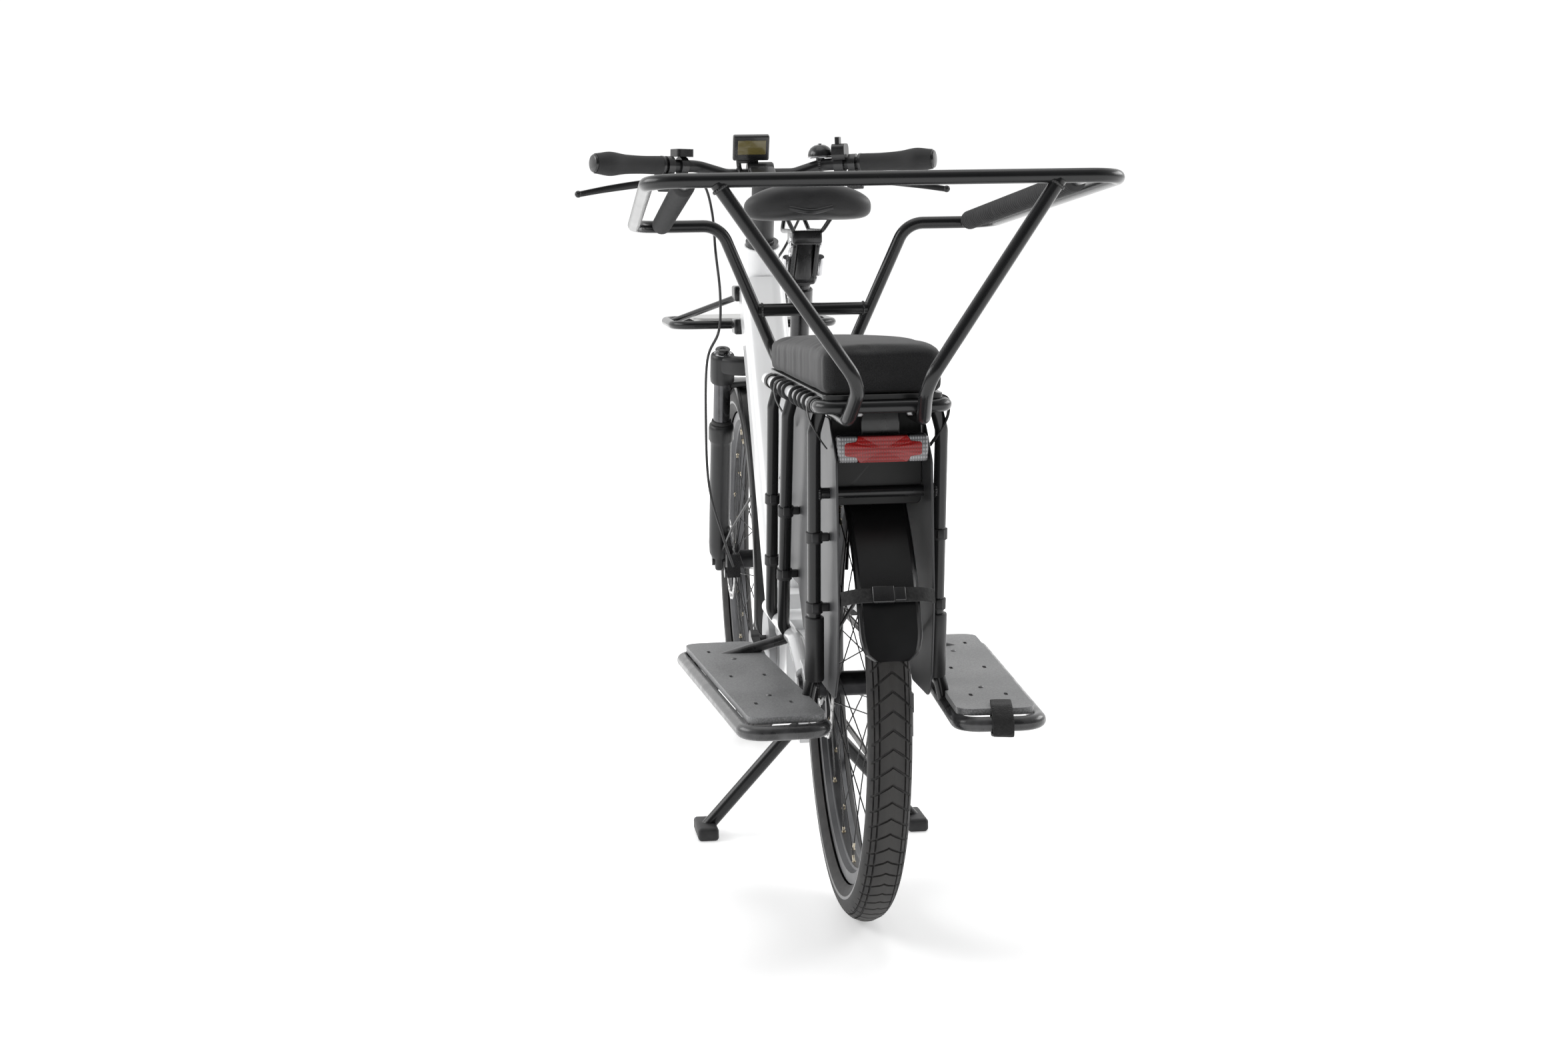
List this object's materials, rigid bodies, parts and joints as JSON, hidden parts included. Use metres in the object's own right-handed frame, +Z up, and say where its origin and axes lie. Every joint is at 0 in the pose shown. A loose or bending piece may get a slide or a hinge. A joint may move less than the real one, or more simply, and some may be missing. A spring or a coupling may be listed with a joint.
{
  "type": "cargo bicycle",
  "caption": "Long-tail cargo bicycle with a padded passenger bench, tubular safety bar, side footboards, front carrier, sprung fork and a folding two-legged stand.",
  "frame": {"origin": "on the floor, in the middle of the bicycle's length and width", "axes": "+X forward, +Y to the rider's left, +Z up"},
  "size_m": [2.0533, 0.6806, 1.1554],
  "materials": {
    "tyre_black": "matte moulded rubber",
    "rim_grey": "dark anodised",
    "steel_black": "black oxide spokes and axles",
    "hub_black": "black anodised",
    "rotor_steel": "ground stainless",
    "frame_white": "gloss white paint",
    "motor_grey": "satin dark grey covers",
    "tube_black": "satin black powder coat",
    "fork_grey": "matte dark grey",
    "anodised_black": "satin black anodised",
    "chain_steel": "oiled steel",
    "plastic_black": "moulded black plastic",
    "rubber_black": "textured rubber",
    "screen": "glossy screen housing",
    "saddle_skin": "dark synthetic leather",
    "cushion_fabric": "dark woven polyester",
    "guard_sheet": "satin dark plastic sheet",
    "lens_red": "clear red lens",
    "foam_grip": "ribbed grey foam tape",
    "board_grey": "grey textured coated plywood",
    "chain_black": "black steel"
  },
  "bodies": {
    "frame": {"main_frame": "frame_white", "rear_stays": "frame_white", "motor": "motor_grey", "headset": "anodised_black", "seat_clamp": "anodised_black", "rear_axle": "steel_black", "rear_caliper": "anodised_black", "derailleur": "anodised_black", "chain": "chain_steel", "rack": "frame_white", "rack_legs": "tube_black", "leg_clamps": "rubber_black", "wheel_guards": "guard_sheet", "rear_mudguard": "plastic_black", "rear_light": "plastic_black", "rear_light_lens": "lens_red", "bench_cushion": "cushion_fabric", "safety_ring": "tube_black", "safety_struts": "tube_black", "safety_hoop": "tube_black", "ring_grips": "foam_grip", "footboard_frames": "tube_black", "footboards": "board_grey", "carrier": "tube_black"},
    "seat": {"seat_post": "anodised_black", "seat_head": "anodised_black", "saddle": "saddle_skin"},
    "steering": {"fork_crown": "fork_grey", "stem": "anodised_black", "handlebar": "anodised_black", "grips": "rubber_black", "lever_clamps": "anodised_black", "remote": "plastic_black", "shifter": "plastic_black", "bell": "plastic_black", "display": "screen", "front_hose": "rubber_black", "rear_hose": "rubber_black"},
    "fork_slider": {"fork_lowers": "fork_grey", "front_axle": "steel_black", "front_caliper": "anodised_black", "front_mudguard": "plastic_black"},
    "front_wheel": {"front_tyre": "tyre_black", "front_rim": "rim_grey", "front_spokes": "steel_black", "front_hub": "hub_black", "front_rotor": "rotor_steel"},
    "rear_wheel": {"rear_tyre": "tyre_black", "rear_rim": "rim_grey", "rear_spokes": "steel_black", "rear_hub": "hub_black", "rear_rotor": "rotor_steel"},
    "sprockets": {"cassette": "chain_steel"},
    "crank": {"chainring": "chain_black", "crank_arms": "anodised_black"},
    "left_pedal_body": {"left_pedal": "plastic_black"},
    "right_pedal_body": {"right_pedal": "plastic_black"},
    "left_lever_body": {"left_lever": "anodised_black"},
    "right_lever_body": {"right_lever": "anodised_black"},
    "stand": {"kickstand": "tube_black"}
  },
  "joints": [
    {"name": "steering", "type": "hinge", "parent": "frame", "child": "steering", "pos_m": [0.41609, 0, 0.95462], "axis": [-0.342, 0, 0.9397], "range_deg": [-45, 45], "deforming": ["rear_hose"]},
    {"name": "fork_travel", "type": "slide", "parent": "steering", "child": "fork_slider", "axis": [-0.342, 0, 0.9397], "range_m": [0, 0.045], "stiffness_N_per_m": 9000, "springref_m": -0.035, "deforming": ["front_hose"]},
    {"name": "front_wheel_spin", "type": "hinge", "parent": "fork_slider", "child": "front_wheel", "pos_m": [0.68625, 0, 0.341], "axis": [0, 1, 0], "continuous": true},
    {"name": "rear_wheel_spin", "type": "hinge", "parent": "frame", "child": "rear_wheel", "pos_m": [-0.64875, 0, 0.341], "axis": [0, 1, 0], "continuous": true},
    {"name": "crank_turn", "type": "hinge", "parent": "frame", "child": "crank", "pos_m": [0.03125, 0, 0.29], "axis": [0, 1, 0], "continuous": true},
    {"name": "sprocket_turn", "type": "hinge", "parent": "frame", "child": "sprockets", "pos_m": [-0.64875, 0, 0.341], "axis": [0, 1, 0], "continuous": true},
    {"name": "left_pedal_turn", "type": "hinge", "parent": "crank", "child": "left_pedal_body", "pos_m": [-0.13617, 0.13, 0.26048], "axis": [0, 1, 0], "continuous": true},
    {"name": "right_pedal_turn", "type": "hinge", "parent": "crank", "child": "right_pedal_body", "pos_m": [0.19867, -0.13, 0.31952], "axis": [0, 1, 0], "continuous": true},
    {"name": "left_brake", "type": "hinge", "parent": "steering", "child": "left_lever_body", "pos_m": [0.41852, 0.1822, 1.07178], "axis": [0.7827, 0.3269, 0.5297], "range_deg": [0, 11], "stiffness_Nm_per_rad": 0.6, "springref_deg": -20.05},
    {"name": "right_brake", "type": "hinge", "parent": "steering", "child": "right_lever_body", "pos_m": [0.41852, -0.1822, 1.07178], "axis": [-0.7827, 0.3269, -0.5297], "range_deg": [0, 11], "stiffness_Nm_per_rad": 0.6, "springref_deg": -20.05},
    {"name": "saddle_height", "type": "slide", "parent": "frame", "child": "seat", "axis": [-0.2588, 0, 0.9659], "range_m": [0, 0.08]},
    {"name": "stand_fold", "type": "hinge", "parent": "frame", "child": "stand", "pos_m": [-0.17075, 0, 0.178], "axis": [0, 1, 0], "range_deg": [0, 75]}
  ],
  "couplings": [
    {"joint": "sprocket_turn", "follows": "crank_turn", "ratio": 2.4444}
  ]
}
